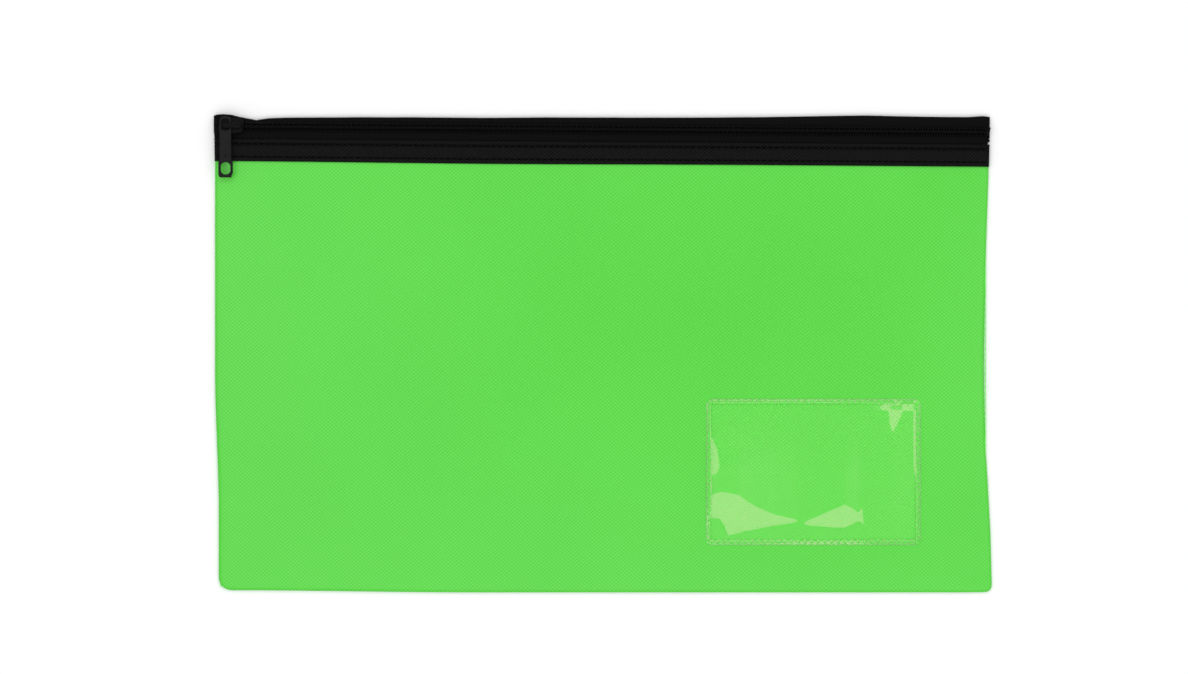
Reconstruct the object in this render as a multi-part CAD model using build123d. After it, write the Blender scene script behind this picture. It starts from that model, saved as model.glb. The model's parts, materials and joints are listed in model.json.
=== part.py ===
from build123d import *
import os
from math import cos, radians, sin

# A flat cash deposit bag, lying on its back. +Z is the front face, +Y runs to the zip, X is the width.
# The origin is the middle of the bag's footprint, on the surface that it rests on. Millimetres.

# Driving dimensions: the bag.
BAG_WIDTH = 360.0
BAG_HEIGHT = 222.4
BOTTOM_CORNER_RADIUS = 4.5
CLOTH = 0.5
PLATEAU_TOP = 7.0
SIDE_SLOPE_WIDTH = 28.0
BOTTOM_SLOPE_WIDTH = 19.0
TOP_SLOPE_FROM = 86.0
TOP_SLOPE_TO = 55.0
SEAM_ALLOWANCE = 7.0
SEAM_GAP = 0.05
SEAM_EDGE_HEIGHT = 0.85
SEAM_STITCH_INSET = 1.8

# Driving dimensions: the zip, a size 3 nylon coil, sewn a little out of square. v counts from its middle.
ZIP_TILT = 0.43
ZIP_LENGTH = 359.0
FRONT_TAPE_EDGE = -14.6
TAPE_FOLD_ABOVE_CHAIN = 5.3
TAPE_TOP = 3.4
BACK_LEG_BOTTOM = 0.25
BACK_LEG_END = -3.0
CHAIN_WIDTH = 4.4
CHAIN_SLOT = 1.1
COIL_HEIGHT = 1.8
COIL_CORNER = 0.5
CORD_LINE = 1.2
CORD_RADIUS = 0.35
CORD_CLEARANCE = 0.05
FRONT_LAP_EDGE = -5.6
BACK_LAP_EDGE = 3.0
BAND_RAMP_START = -9.5

# Driving dimensions: the black facing strip, sewn over the joint between the tape and the front panel.
FACING_FOLD = -6.0
FACING_EDGE = -15.8

# Driving dimensions: stitching. Each row is one thread that runs over the cloth and dips through it.
THREAD_WIDTH = 0.4
THREAD_HEIGHT = 0.25
THREAD_LIFT = 0.2
STITCH_PITCH = 3.0
STITCH_GAP = 0.8
FACING_OUTER_ROW = -14.0
FACING_INNER_ROW = -7.9
BACK_OUTER_ROW = -1.9
BACK_INNER_ROW = 2.0

# Driving dimensions: the slider, at the closed end of its travel, and its pull tab.
SLIDER_X = -172.2
SLIDER_LENGTH = 9.8
SLIDER_WIDTH = 7.8
SLIDER_TAPER = 1.5
LOWER_WING_WIDTH = 6.4
SHOULDER_RADIUS = 2.0
TAIL_RADIUS = 1.5
WING = 0.9
WING_EDGE_RADIUS = 0.4
RUNNING_GAP = 0.3
STITCH_ROOM = 0.1
WEB_THICKNESS = 0.5
WEB_LENGTH = 3.4
WEB_FROM_NOSE = 1.0
CROWN_LEG_RADIUS = 0.7
CROWN_LEG_OFFSET = 3.2
CROWN_BAR_OVERHANG = 0.3
CROWN_BAR_WIDTH = 2.6
CROWN_BAR = 1.1
CROWN_EDGE_RADIUS = 0.5
TAB_WIDTH = 5.4
TAB_THICKNESS = 1.0
TAB_ABOVE_HINGE = 4.4
TAB_BELOW_HINGE = 24.1
TAB_TOP_RADIUS = 2.3
RING_LEFT_RADIUS = 1.3
RING_RIGHT_RADIUS = 2.7
TAB_PLAY = 0.4
TAB_BEND = 3.2
TAB_DROP = 1.3
PAD_WIDTH = 5.0
PAD_BELOW_HINGE = (4.0, 16.2)
PAD_RAISE = 0.35
PAD_RADIUS = 0.8
DIMPLE_BELOW_HINGE = 14.2
DIMPLE_RADIUS = 1.15
DIMPLE_DEPTH = 0.25
EYE_WIDTH = 3.8
EYE_ABOVE_HINGE = 3.1
EYE_BELOW_HINGE = 2.4
EYE_RADIUS = 1.3
RING_WIDTH = 6.7
RING_LENGTH = 8.1
RING_SHOULDER_RADIUS = 0.6
RING_HOLE_WIDTH = 4.5
RING_HOLE_LENGTH = 5.7
RING_HOLE_RADIUS = 2.1
RING_END_WALL = 1.4

# Driving dimensions: the card window.
WINDOW_WIDTH = 100.0
WINDOW_HEIGHT = 68.0
WINDOW_CENTRE = (97.9, -55.2)
WINDOW_CORNER_RADIUS = 3.0
WINDOW_STITCH_INSET = 1.6
FILM = 0.3

# Worked-out heights and lines.
HALF_WIDTH = BAG_WIDTH / 2
BOTTOM_Y = -BAG_HEIGHT / 2
END_RISE = ZIP_LENGTH / 2 * sin(radians(ZIP_TILT))
CHAIN_Y = BAG_HEIGHT / 2 - TAPE_FOLD_ABOVE_CHAIN - END_RISE
TAPE_BOTTOM = TAPE_TOP - CLOTH
COIL_TOP = TAPE_TOP + COIL_HEIGHT
SEAM_BASE = 2 * CLOTH + SEAM_GAP
BAND_TOP = TAPE_BOTTOM
FACING_TOP = TAPE_TOP + CLOTH
BACK_BAND_BOTTOM = BACK_LEG_BOTTOM + CLOTH
LOWER_WING_TOP = TAPE_BOTTOM - STITCH_ROOM - RUNNING_GAP
UPPER_WING_BOTTOM = COIL_TOP + STITCH_ROOM + RUNNING_GAP
UPPER_WING_TOP = UPPER_WING_BOTTOM + WING
TAB_BOTTOM = UPPER_WING_TOP + TAB_PLAY
TAB_TOP = TAB_BOTTOM + TAB_THICKNESS
CROWN_BAR_BOTTOM = TAB_TOP + TAB_PLAY
HALF_CHAIN = CHAIN_WIDTH / 2
HALF_SLOT = CHAIN_SLOT / 2
JOIN = 0.1
FAR = 400.0

# The zip's own frame: u along the chain, v towards the top of the bag, from the middle of the chain.
ZIP = Pos(0, CHAIN_Y, 0) * Rot(0, 0, -ZIP_TILT)


def block(x0, x1, y0, y1, z0, z1):
    """A box between two corners."""
    centre = ((x0 + x1) / 2, (y0 + y1) / 2, (z0 + z1) / 2)
    return Pos(*centre) * Box(x1 - x0, y1 - y0, z1 - z0)


def outline(points):
    """A flat face inside a closed run of straight edges."""
    return make_face(Polyline(*points, close=True))


def along_x(points, length):
    """A profile of (y, z) points, extruded both ways along X."""
    return extrude(Plane.YZ * outline(points), amount=length / 2, both=True)


def along_y(points, length):
    """A profile of (x, z) points, extruded both ways along Y."""
    return extrude(Plane.XZ * outline(points), amount=length / 2, both=True)


def bag_plan(inset, z0, z1):
    """The bag's footprint, drawn in by inset, as a slab that runs on past the zip."""
    half = HALF_WIDTH - inset
    bottom = BOTTOM_Y + inset
    slab = block(-half, half, bottom, BAG_HEIGHT / 2 + 5, z0, z1)
    corners = slab.edges().filter_by(Axis.Z).group_by(Axis.Y)[0]
    return fillet(corners, BOTTOM_CORNER_RADIUS - inset)


def puffed_body(inset, base):
    """The space under the front panel: a low plateau that slopes down to the seams and the zip band."""
    side = HALF_WIDTH - inset
    bottom = BOTTOM_Y + inset
    edge = SEAM_BASE + SEAM_EDGE_HEIGHT - 0.6 * inset
    top = PLATEAU_TOP - inset
    band = BAND_TOP - inset
    flat = HALF_WIDTH - SIDE_SLOPE_WIDTH
    across = [(-side, base), (-side, edge), (-flat, top), (flat, top), (side, edge), (side, base)]
    lengthwise = [
        (bottom, base),
        (bottom, edge),
        (BOTTOM_Y + BOTTOM_SLOPE_WIDTH, top),
        (TOP_SLOPE_TO, top),
        (TOP_SLOPE_FROM, band),
        (FAR, band),
        (FAR, base),
    ]
    return along_y(across, 2 * FAR) & along_x(lengthwise, 2 * FAR) & bag_plan(inset, base, top)


def seam_strip(z0, z1):
    """The turned-in seam allowance along the left, bottom and right edges."""
    inner = HALF_WIDTH - SEAM_ALLOWANCE
    cut = block(-inner, inner, BOTTOM_Y + SEAM_ALLOWANCE, FAR, z0, z1)
    return bag_plan(CLOTH / 2, z0, z1) - cut


def above_line(v):
    """Everything on the zip side of a line parallel to the chain."""
    return ZIP * block(-FAR, FAR, v, FAR, -FAR, FAR)


def front_panel():
    shell = puffed_body(0, SEAM_BASE) - puffed_body(CLOTH, SEAM_BASE - 1)
    whole = shell + seam_strip(SEAM_BASE, SEAM_BASE + CLOTH)
    room = BACK_BAND_BOTTOM + CLOTH + 2 * SEAM_GAP
    over_band = ZIP * block(-FAR, FAR, BAND_RAMP_START - 1, FAR, 0, room)
    return whole - over_band - above_line(FRONT_LAP_EDGE)


def back_panel():
    band_start = -14.0
    ramp_start = BAND_RAMP_START
    ramp_end = BACK_LEG_END - 0.8
    field_end = CHAIN_Y + ramp_start - 2 * END_RISE + 1
    field = bag_plan(0, 0, CLOTH) & block(-FAR, FAR, -FAR, field_end, -1, 2)
    band = ZIP * along_x(
        [
            (band_start, 0),
            (ramp_start, 0),
            (ramp_end, BACK_BAND_BOTTOM),
            (BACK_LAP_EDGE, BACK_BAND_BOTTOM),
            (BACK_LAP_EDGE, BACK_BAND_BOTTOM + CLOTH),
            (ramp_end, BACK_BAND_BOTTOM + CLOTH),
            (ramp_start, CLOTH),
            (band_start, CLOTH),
        ],
        2 * FAR,
    )
    border = seam_strip(CLOTH / 2, 2 * CLOTH) & block(-FAR, FAR, -FAR, field_end - 3, -1, 2)
    return field + (band & bag_plan(0, -1, 3)) + border


def zip_strip(v0, v1, z0, z1):
    """A flat strip parallel to the chain."""
    return ZIP * block(-ZIP_LENGTH / 2, ZIP_LENGTH / 2, v0, v1, z0, z1)


def front_tape():
    return zip_strip(FRONT_TAPE_EDGE, -HALF_SLOT, TAPE_BOTTOM, TAPE_TOP)


def front_facing():
    return zip_strip(FACING_EDGE, FACING_FOLD, TAPE_TOP, FACING_TOP)


def back_tape():
    """Runs up from the chain, folds over the bag's top edge and comes down the back."""
    outer = (TAPE_TOP - BACK_LEG_BOTTOM) / 2
    fold_v = TAPE_FOLD_ABOVE_CHAIN - outer
    fold_z = BACK_LEG_BOTTOM + outer
    ring = Circle(outer) - Circle(outer - CLOTH)
    half_ring = Pos(fold_v, fold_z) * (ring & Pos(outer, 0) * Rectangle(2 * outer, 4 * outer))
    top_leg = Pos((HALF_SLOT + fold_v) / 2, TAPE_TOP - CLOTH / 2) * Rectangle(fold_v - HALF_SLOT, CLOTH)
    back_leg_length = fold_v - BACK_LEG_END
    back_leg_middle = Pos(fold_v - back_leg_length / 2, BACK_LEG_BOTTOM + CLOTH / 2)
    back_leg = back_leg_middle * Rectangle(back_leg_length, CLOTH)
    profile = half_ring + top_leg + back_leg
    return ZIP * extrude(Plane.YZ * profile, amount=ZIP_LENGTH / 2, both=True)


def cord_profile(side, radius):
    return Pos(side * CORD_LINE, TAPE_TOP + COIL_HEIGHT / 2) * Circle(radius)


def coil(side):
    """One half of the closed chain, as the outer form of its coil, with the channel of its filler cord."""
    centre = Pos(side * (HALF_SLOT + HALF_CHAIN) / 2, TAPE_TOP + COIL_HEIGHT / 2)
    form = centre * RectangleRounded(HALF_CHAIN - HALF_SLOT, COIL_HEIGHT, COIL_CORNER)
    profile = form - cord_profile(side, CORD_RADIUS + CORD_CLEARANCE)
    return ZIP * extrude(Plane.YZ * profile, amount=ZIP_LENGTH / 2, both=True)


def coil_cord(side):
    return ZIP * extrude(Plane.YZ * cord_profile(side, CORD_RADIUS), amount=ZIP_LENGTH / 2, both=True)


def thread(length, z_low, z_high, pitch=STITCH_PITCH):
    """One thread along X, centred: it lies on top at z_high and dips down to z_low between stitches."""
    count = int(length // pitch)
    start = -count * pitch / 2
    h = THREAD_HEIGHT
    upper = []
    lower = []
    for i in range(count):
        rise = start + i * pitch + STITCH_GAP / 2
        fall = start + (i + 1) * pitch - STITCH_GAP / 2
        upper += [(rise - h, z_low + h), (rise - h, z_high), (fall + h, z_high), (fall + h, z_low + h)]
        lower += [(rise, z_low), (rise, z_high - h), (fall, z_high - h), (fall, z_low)]
    ends = [(start, z_low + h)], [(-start, z_low + h), (-start, z_low)], [(start, z_low)]
    points = ends[0] + upper + ends[1] + lower[::-1] + ends[2]
    return extrude(Plane.XZ * outline(points), amount=THREAD_WIDTH / 2, both=True)


def zip_row(v, z_low, z_high):
    """A thread parallel to the chain."""
    return ZIP * Pos(0, v, 0) * thread(ZIP_LENGTH - 3, z_low, z_high)


def coil_stitching(side):
    return zip_row(side * CORD_LINE, TAPE_BOTTOM - STITCH_ROOM, COIL_TOP + STITCH_ROOM)


def facing_row(v):
    return zip_row(v, TAPE_BOTTOM - CLOTH - THREAD_LIFT, FACING_TOP + THREAD_LIFT)


def back_tape_row(v):
    return zip_row(v, 0, BACK_BAND_BOTTOM + CLOTH + STITCH_ROOM)


def seam_row(length):
    """A thread through both turned-in allowances; none of it shows outside."""
    return thread(length, CLOTH + STITCH_ROOM, SEAM_BASE + CLOTH + THREAD_LIFT)


def side_seam(side):
    top = CHAIN_Y + FACING_EDGE
    length = top - BOTTOM_Y - 2 * SEAM_STITCH_INSET
    place = Pos(side * (HALF_WIDTH - SEAM_STITCH_INSET), (top + BOTTOM_Y) / 2, 0)
    return place * Rot(0, 0, 90) * seam_row(length)


def bottom_seam():
    return Pos(0, BOTTOM_Y + SEAM_STITCH_INSET, 0) * seam_row(BAG_WIDTH - 4 * SEAM_STITCH_INSET)


def window_film():
    plate = extrude(RectangleRounded(WINDOW_WIDTH, WINDOW_HEIGHT, WINDOW_CORNER_RADIUS), amount=FILM)
    return Pos(*WINDOW_CENTRE, PLATEAU_TOP) * plate


def window_stitching():
    """Four rows, one along each side of the film, through the film and the front panel."""
    z_low = PLATEAU_TOP - CLOTH - THREAD_LIFT
    z_high = PLATEAU_TOP + FILM + THREAD_LIFT
    across = thread(WINDOW_WIDTH - 2 * WINDOW_STITCH_INSET - 2, z_low, z_high)
    upright = Rot(0, 0, 90) * thread(WINDOW_HEIGHT - 2 * WINDOW_STITCH_INSET - 2, z_low, z_high)
    x = WINDOW_WIDTH / 2 - WINDOW_STITCH_INSET
    y = WINDOW_HEIGHT / 2 - WINDOW_STITCH_INSET
    rows = [Pos(0, y, 0) * across, Pos(0, -y, 0) * across, Pos(x, 0, 0) * upright, Pos(-x, 0, 0) * upright]
    return Pos(*WINDOW_CENTRE, 0) * Compound(children=[row.solids()[0] for row in rows])


def wing_plan(width):
    """A slider wing seen from the front: broad round shoulders at its nose and a narrower tail."""
    lobes = []
    for side in (-1, 1):
        shoulder = Pos(SHOULDER_RADIUS - SLIDER_LENGTH / 2, side * (width / 2 - SHOULDER_RADIUS))
        tail = Pos(SLIDER_LENGTH / 2 - TAIL_RADIUS, side * ((width - SLIDER_TAPER) / 2 - TAIL_RADIUS))
        lobes += [shoulder * Circle(SHOULDER_RADIUS), tail * Circle(TAIL_RADIUS)]
    return make_hull([edge for lobe in lobes for edge in lobe.edges()])


def wings():
    """The two wings, the flanges that close the upper one's sides, and the web between the coils."""
    upper = Pos(0, 0, UPPER_WING_BOTTOM) * extrude(wing_plan(SLIDER_WIDTH), amount=WING)
    upper = fillet(upper.edges().group_by(Axis.Z)[-1], WING_EDGE_RADIUS)
    lower = Pos(0, 0, LOWER_WING_TOP - WING) * extrude(wing_plan(LOWER_WING_WIDTH), amount=WING)
    flange_plan = wing_plan(SLIDER_WIDTH) - Rectangle(FAR, CHAIN_WIDTH + 2 * RUNNING_GAP)
    flange_bottom = TAPE_TOP + RUNNING_GAP
    flange_height = UPPER_WING_BOTTOM - flange_bottom + JOIN
    flanges = Pos(0, 0, flange_bottom) * extrude(flange_plan, amount=flange_height)
    web_start = WEB_FROM_NOSE - SLIDER_LENGTH / 2
    web_half = WEB_THICKNESS / 2
    web_top = UPPER_WING_BOTTOM + JOIN
    web = block(web_start, web_start + WEB_LENGTH, -web_half, web_half, LOWER_WING_TOP - JOIN, web_top)
    return upper + flanges + lower + web


def crown():
    """Two round legs on the upper wing with a bar across them."""
    leg_height = CROWN_BAR_BOTTOM + CROWN_BAR / 2 - UPPER_WING_TOP + JOIN
    leg = Cylinder(CROWN_LEG_RADIUS, leg_height)
    leg_middle = UPPER_WING_TOP - JOIN + leg_height / 2
    bar_length = 2 * (CROWN_LEG_OFFSET + CROWN_LEG_RADIUS + CROWN_BAR_OVERHANG)
    bar_plan = RectangleRounded(bar_length, CROWN_BAR_WIDTH, CROWN_BAR_WIDTH / 2 - JOIN)
    bar = extrude(bar_plan, amount=CROWN_BAR)
    bar = fillet(bar.edges().group_by(Axis.Z)[-1], CROWN_EDGE_RADIUS)
    left = Pos(-CROWN_LEG_OFFSET, 0, leg_middle) * leg
    right = Pos(CROWN_LEG_OFFSET, 0, leg_middle) * leg
    return left + right + Pos(0, 0, CROWN_BAR_BOTTOM) * bar


def slider_body():
    return ZIP * Pos(SLIDER_X, 0, 0) * (wings() + crown())


def tab_slab(lift, margin):
    """The tab's bent side profile: level through its eye, then sloping down to its end."""
    top = TAB_TOP + lift
    low = TAB_BOTTOM + margin
    end = -TAB_BELOW_HINGE
    profile = [
        (TAB_ABOVE_HINGE, low),
        (-TAB_BEND, low),
        (end, low - TAB_DROP),
        (end, top - TAB_DROP),
        (-TAB_BEND, top),
        (TAB_ABOVE_HINGE, top),
    ]
    return along_x(profile, 2 * RING_WIDTH)


def upright(width, v0, v1, radius):
    """A rounded upright from v0 up to v1, centred on the hinge."""
    return Pos(0, (v0 + v1) / 2) * RectangleRounded(width, v1 - v0, radius)


def tab_outline():
    """A strap with a round top that widens into a ring, nearly square at its lower left."""
    height = TAB_ABOVE_HINGE + TAB_BELOW_HINGE
    strap = Pos(0, TAB_ABOVE_HINGE - height / 2) * Rectangle(TAB_WIDTH, height)
    strap = fillet(strap.vertices().group_by(Axis.Y)[-1], TAB_TOP_RADIUS)
    ring = Pos(0, RING_LENGTH / 2 - TAB_BELOW_HINGE) * Rectangle(RING_WIDTH, RING_LENGTH)
    lower, shoulders = ring.vertices().group_by(Axis.Y)
    left, right = lower.sort_by(Axis.X)
    ring = fillet(shoulders, RING_SHOULDER_RADIUS)
    ring = fillet(ring.vertices().sort_by_distance(left)[0], RING_LEFT_RADIUS)
    ring = fillet(ring.vertices().sort_by_distance(right)[0], RING_RIGHT_RADIUS)
    return strap + ring


def pull_tab():
    """Hangs on the crown's left leg through its eye, and ends in a ring."""
    eye = upright(EYE_WIDTH, -EYE_BELOW_HINGE, EYE_ABOVE_HINGE, EYE_RADIUS)
    hole_end = RING_END_WALL - TAB_BELOW_HINGE
    ring_hole = upright(RING_HOLE_WIDTH, hole_end, hole_end + RING_HOLE_LENGTH, RING_HOLE_RADIUS)
    body = extrude(tab_outline() - eye - ring_hole, amount=FAR) & tab_slab(0, 0)
    pad_top, pad_bottom = PAD_BELOW_HINGE
    pad = extrude(upright(PAD_WIDTH, -pad_bottom, -pad_top, PAD_RADIUS), amount=FAR)
    pad = pad & tab_slab(PAD_RAISE, JOIN)
    fall = TAB_DROP * (DIMPLE_BELOW_HINGE - TAB_BEND) / (TAB_BELOW_HINGE - TAB_BEND)
    dimple_middle = TAB_TOP + PAD_RAISE - fall + DIMPLE_RADIUS - DIMPLE_DEPTH
    dimple = Pos(0, -DIMPLE_BELOW_HINGE, dimple_middle) * Sphere(DIMPLE_RADIUS)
    return hinge_place() * (body + pad - dimple)


def hinge_place():
    """The pull tab's hinge, on the crown's left leg, with the tab square to the bag."""
    leg = ZIP * Pos(SLIDER_X - CROWN_LEG_OFFSET, 0, 0)
    return Pos(leg.position.X, leg.position.Y, 0)


NODES = {
    "front_panel": front_panel(),
    "back_panel": back_panel(),
    "front_tape": front_tape(),
    "back_tape": back_tape(),
    "front_facing": front_facing(),
    "front_coil": coil(-1),
    "back_coil": coil(1),
    "front_coil_cord": coil_cord(-1),
    "back_coil_cord": coil_cord(1),
    "front_coil_stitching": coil_stitching(-1),
    "back_coil_stitching": coil_stitching(1),
    "slider_body": slider_body(),
    "pull_tab": pull_tab(),
    "facing_outer_stitching": facing_row(FACING_OUTER_ROW),
    "facing_inner_stitching": facing_row(FACING_INNER_ROW),
    "back_tape_outer_stitching": back_tape_row(BACK_OUTER_ROW),
    "back_tape_inner_stitching": back_tape_row(BACK_INNER_ROW),
    "left_seam_stitching": side_seam(-1),
    "right_seam_stitching": side_seam(1),
    "bottom_seam_stitching": bottom_seam(),
    "window_film": window_film(),
    "window_stitching": window_stitching(),
}

os.makedirs("parts", exist_ok=True)
for name, shape in NODES.items():
    export_step(shape, f"parts/{name}.step")

hinge = hinge_place().position
print("hinge", round(hinge.X, 4), round(hinge.Y, 4))
print("slide axis", round(cos(radians(ZIP_TILT)), 6), round(-sin(radians(ZIP_TILT)), 6))
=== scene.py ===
"""The looks of a flat cash deposit bag: coated cloth, a coil zip, a slider with its tab and a card window."""

import json
import math

import bpy
import numpy as np
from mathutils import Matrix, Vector, noise
from mathutils.bvhtree import BVHTree


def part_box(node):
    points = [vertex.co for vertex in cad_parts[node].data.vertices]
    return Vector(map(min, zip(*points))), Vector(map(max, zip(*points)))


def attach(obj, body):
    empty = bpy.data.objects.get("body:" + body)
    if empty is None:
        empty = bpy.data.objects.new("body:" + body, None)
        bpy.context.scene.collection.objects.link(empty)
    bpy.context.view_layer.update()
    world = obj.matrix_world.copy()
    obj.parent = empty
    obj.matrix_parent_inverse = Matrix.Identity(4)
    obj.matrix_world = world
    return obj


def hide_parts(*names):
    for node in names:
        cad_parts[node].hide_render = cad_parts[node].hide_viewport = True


MM = 0.001

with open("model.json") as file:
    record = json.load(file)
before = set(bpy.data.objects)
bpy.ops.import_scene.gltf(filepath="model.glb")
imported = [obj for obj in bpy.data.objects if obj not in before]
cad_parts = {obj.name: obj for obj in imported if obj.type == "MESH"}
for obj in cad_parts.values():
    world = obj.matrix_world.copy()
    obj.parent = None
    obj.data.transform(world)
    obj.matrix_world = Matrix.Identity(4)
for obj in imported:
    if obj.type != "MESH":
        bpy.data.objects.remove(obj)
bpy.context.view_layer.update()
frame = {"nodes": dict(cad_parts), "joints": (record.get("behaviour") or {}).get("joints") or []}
nodes = frame["nodes"]
slide = next(j for j in frame["joints"] if j["name"] == "zip_slide")

# The zip's own frame: u along the chain, v towards the top of the bag, both in millimetres.
ALONG = np.array(slide["axis"], float)
ACROSS = np.array([-ALONG[1], ALONG[0], 0.0])
slider_low, slider_high = (np.array(corner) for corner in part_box("slider_body"))
slider_middle = (slider_low + slider_high) / 2
CHAIN_ORIGIN = slider_middle - ALONG * slider_middle[0] / ALONG[0]
CHAIN_ORIGIN[2] = 0


def zip_extent(node):
    """The lowest and highest (u, v, z) of a CAD node, in millimetres."""
    vertices = np.array([v.co for v in nodes[node].data.vertices], float)
    offset = vertices - CHAIN_ORIGIN
    in_zip = np.stack([offset @ ALONG, offset @ ACROSS, vertices[:, 2]], 1) / MM
    return in_zip.min(0), in_zip.max(0)


def millimetre_box(node):
    low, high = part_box(node)
    return np.array(low) / MM, np.array(high) / MM


# Sizes from the frame, in millimetres.
tape_low, tape_high = zip_extent("front_tape")
facing_low, facing_high = zip_extent("front_facing")
_, coil_high = zip_extent("back_coil")
back_tape_low, _ = zip_extent("back_tape")
front_low, front_high = millimetre_box("front_panel")
film_low, film_high = millimetre_box("window_film")

HALF_WIDTH = front_high[0]
BOTTOM = front_low[1]
ZIP_END = tape_high[0]
TAPE_TOP = tape_high[2]
TAPE_BOTTOM = tape_low[2]
TAPE_EDGE = tape_low[1]
FACING_EDGE = facing_low[1]
FACING_FOLD = facing_high[1]
FACING_TOP = facing_high[2]
COIL_TOP = coil_high[2]
HALF_CHAIN = coil_high[1]
CLOTH = 0.5
PANEL_LAP = -5.6
BACK_LAP = 2.5

# The seam: where the front and back cloth meet, and how far in the seam's stitches hold them.
SEAM_Z = 1.15
SEAM_INSET = 2.0
SEAM_FRONT_Z = 2.35
LEFT_CORNER = 6.0
RIGHT_CORNER = 3.5
RIM_STEPS = (0.0, 0.12, 0.35, 0.7, 1.2)
BAND_TUCK = 1.8
CELL = 2.5


def smooth(x, low, high):
    """0 below low, 1 above high, and a smooth rise between."""
    t = np.clip((x - low) / (high - low), 0, 1)
    return t * t * (3 - 2 * t)


def waves(x, y, scale, seed):
    """Soft noise from -1 to 1, with bumps about scale across."""
    flat_x, flat_y = np.broadcast_arrays(np.asarray(x, float), np.asarray(y, float))
    values = [
        noise.noise(Vector((a / scale, b / scale, 7.3 * seed)))
        for a, b in zip(flat_x.ravel(), flat_y.ravel())
    ]
    return np.array(values).reshape(flat_x.shape)


def chain_y(x):
    """Y of the chain's middle line at x."""
    return CHAIN_ORIGIN[1] / MM + x * ALONG[1] / ALONG[0]


def zip_point(u, v, z):
    """Points in the bag's frame, in millimetres, from u, v and z."""
    u, v, z = np.broadcast_arrays(np.asarray(u, float), v, z)
    x = CHAIN_ORIGIN[0] / MM + u * ALONG[0] + v * ACROSS[0]
    y = CHAIN_ORIGIN[1] / MM + u * ALONG[1] + v * ACROSS[1]
    return np.stack([x, y, z], -1)


# The bag's outline, as sewn: the left edge leans in a little and the right edge bows in between its corners.
def left_edge(y):
    return -HALF_WIDTH - 0.9 + 1.7 * smooth(-y, 10, 75)


# How far the right edge stands outside its straight line, from the bottom of the bag (0) to its top (1).
RIGHT_EDGE = (
    (0, 1.4),
    (0.12, 0.7),
    (0.24, -0.7),
    (0.32, -1.85),
    (0.43, -2.4),
    (0.52, -2.4),
    (0.62, -2.0),
    (0.75, -1.2),
    (0.87, -0.3),
    (1, 0.1),
)


def along_line(points, x):
    """The straight-sided line through points, at x."""
    knots = np.array(points, float)
    return np.interp(x, knots[:, 0], knots[:, 1])


def right_edge(y):
    return HALF_WIDTH + along_line(RIGHT_EDGE, (y - BOTTOM) / (2 * abs(BOTTOM)))


def bottom_edge(x):
    return BOTTOM - 0.3 + smooth(-x, 60, 175) + 0.1 * smooth(x, 160, 182)


def rounded(x, y, side_edge, direction):
    """Moves the points of one bottom corner so that the corner's outline is round."""
    radius = LEFT_CORNER if direction < 0 else RIGHT_CORNER
    centre_x = side_edge - direction * radius
    centre_y = bottom_edge(x) + radius
    a = np.clip((x - centre_x) * direction / radius, 0, 1)
    b = np.clip((centre_y - y) / radius, 0, 1)
    x_new = centre_x + direction * radius * a * np.sqrt(1 - b * b / 2)
    y_new = centre_y - radius * b * np.sqrt(1 - a * a / 2)
    inside = (a > 0) & (b > 0)
    return np.where(inside, x_new, x), np.where(inside, y_new, y)


def panel_plan(top_v):
    """Rows and columns of (x, y) over a panel, fine along its sewn edges, and each point's depth inside."""
    rim = np.array(RIM_STEPS)
    inner_x = np.linspace(SEAM_INSET, 2 * HALF_WIDTH - SEAM_INSET, int(2 * HALF_WIDTH / CELL))
    across = np.concatenate([rim, inner_x, 2 * HALF_WIDTH - rim[::-1]])
    top = chain_y(0) + top_v
    inner_y = np.linspace(SEAM_INSET, top - BOTTOM, int((top - BOTTOM) / CELL))
    up = np.concatenate([rim, inner_y])
    s, d_y = np.meshgrid(across / (2 * HALF_WIDTH), up)
    t = d_y / (top - BOTTOM)
    y_guess = BOTTOM + d_y
    tuck = BAND_TUCK * smooth(y_guess - chain_y(0) - TAPE_EDGE, -1, 3)
    low = left_edge(y_guess) + tuck
    x = low + s * (right_edge(y_guess) - tuck - low)
    y = bottom_edge(x) + t * (chain_y(x) + top_v - bottom_edge(x))
    d_x = np.minimum(s, 1 - s) * 2 * HALF_WIDTH
    depth = np.minimum(np.minimum(d_x, d_y), SEAM_INSET)
    x, y = rounded(x, y, left_edge(y), -1)
    x, y = rounded(x, y, right_edge(y), 1)
    return x, y, depth


def rim_shape(depth):
    """0 on the seam's outer line, 1 where its stitches are: a quarter round."""
    t = depth / SEAM_INSET
    return np.sqrt(np.clip(1 - (1 - t) ** 2, 0, 1))


def mesh_object(name, points, faces, material=None, shade_smooth=True):
    """A mesh from points in millimetres."""
    mesh = bpy.data.meshes.new(name)
    mesh.from_pydata((np.asarray(points, float).reshape(-1, 3) * MM).tolist(), [], faces)
    mesh.update()
    if shade_smooth:
        mesh.polygons.foreach_set("use_smooth", [True] * len(mesh.polygons))
    obj = bpy.data.objects.new(name, mesh)
    bpy.context.scene.collection.objects.link(obj)
    if material is not None:
        mesh.materials.append(material)
    return obj


def grid_faces(rows, columns, flip=False):
    index = np.arange(rows * columns).reshape(rows, columns)
    corners = [index[:-1, :-1], index[:-1, 1:], index[1:, 1:], index[1:, :-1]]
    if flip:
        corners = corners[::-1]
    return np.stack(corners, -1).reshape(-1, 4).tolist()


def grid_object(name, points, material=None, flip=False):
    rows, columns = points.shape[:2]
    return mesh_object(name, points, grid_faces(rows, columns, flip), material)


def finished(obj):
    """Applies the modifiers that are on obj to its mesh."""
    depsgraph = bpy.context.evaluated_depsgraph_get()
    mesh = bpy.data.meshes.new_from_object(obj.evaluated_get(depsgraph))
    obj.modifiers.clear()
    obj.data = mesh
    return obj


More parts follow.
